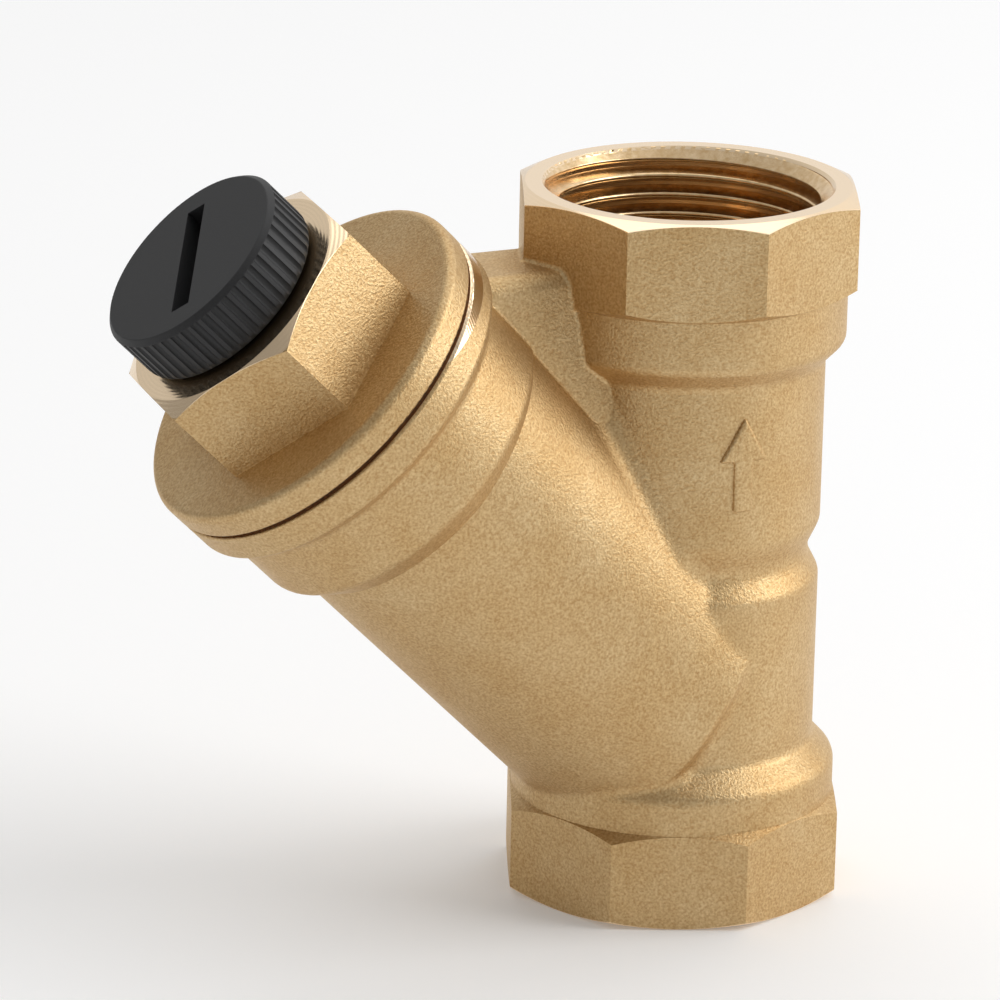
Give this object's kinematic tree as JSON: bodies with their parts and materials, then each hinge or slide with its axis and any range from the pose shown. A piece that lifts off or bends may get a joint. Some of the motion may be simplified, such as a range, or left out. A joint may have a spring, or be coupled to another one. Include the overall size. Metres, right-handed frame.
{
  "type": "magnetic y strainer",
  "caption": "Brass Y strainer with female threaded ends, a drawn-out perforated screen, and magnets on a rod in a dry pocket behind a slotted knurled plug.",
  "frame": {"origin": "centre of the inlet end face", "axes": "+Z along the run from inlet to outlet, -X the side that the branch leans to, -Y the side with the flow arrow"},
  "size_m": [0.0909, 0.0446, 0.0901],
  "materials": {
    "blasted_brass": "shot-blasted forging, satin",
    "cover_brass": "shot-blasted forging with a turned face",
    "gasket_fibre": "pressed fibre, dull",
    "stainless": "rolled sheet, satin",
    "stainless_mesh": "woven wire",
    "pocket_brass": "turned, bright",
    "rod_steel": "zinc plated",
    "magnet_nickel": "nickel plated",
    "pole_steel": "turned, oiled",
    "black_plastic": "moulded, matt",
    "seal_rubber": "moulded, dull"
  },
  "bodies": {
    "valve_body": {"body": "blasted_brass"},
    "screen": {"perforated_screen": "stainless", "mesh_liner": "stainless_mesh", "screen_lower_ring": "stainless", "screen_upper_ring": "stainless"},
    "gasket": {"cover_gasket": "gasket_fibre"},
    "cover": {"cover": "cover_brass", "magnet_pocket": "pocket_brass"},
    "seal_ring": {"plug_seal_ring": "seal_rubber"},
    "magnet_stack": {"magnet_1": "magnet_nickel", "magnet_2": "magnet_nickel", "magnet_3": "magnet_nickel", "magnet_4": "magnet_nickel", "magnet_5": "magnet_nickel", "pole_disc_1": "pole_steel", "pole_disc_2": "pole_steel", "pole_disc_3": "pole_steel", "pole_disc_4": "pole_steel", "pole_disc_5": "pole_steel", "pole_disc_6": "pole_steel", "magnet_rod": "rod_steel", "rod_nut": "rod_steel", "rod_spacer": "pocket_brass"},
    "plug": {"plug": "black_plastic"}
  },
  "joints": [
    {"name": "screen_draw", "type": "slide", "parent": "valve_body", "child": "screen", "axis": [-0.7071, 0, 0.7071], "range_m": [0, 0.06]},
    {"name": "cover_travel", "type": "slide", "parent": "screen", "child": "gasket", "axis": [-0.7071, 0, 0.7071], "range_m": [0, 0.0105]},
    {"name": "cover_turn", "type": "hinge", "parent": "gasket", "child": "cover", "pos_m": [-0.04985, 0, 0.06985], "axis": [-0.7071, 0, 0.7071], "range_deg": [0, 2521]},
    {"name": "magnet_draw", "type": "slide", "parent": "cover", "child": "seal_ring", "axis": [-0.7071, 0, 0.7071], "range_m": [0, 0.066]},
    {"name": "plug_travel", "type": "slide", "parent": "seal_ring", "child": "magnet_stack", "axis": [-0.7071, 0, 0.7071], "range_m": [0, 0.0105]},
    {"name": "plug_turn", "type": "hinge", "parent": "magnet_stack", "child": "plug", "pos_m": [-0.05911, 0, 0.07911], "axis": [-0.7071, 0, 0.7071], "range_deg": [0, 2521]}
  ],
  "couplings": [
    {"joint": "cover_turn", "follows": "cover_travel", "rad_per_m": 4188.8},
    {"joint": "plug_turn", "follows": "plug_travel", "rad_per_m": 4188.8}
  ]
}
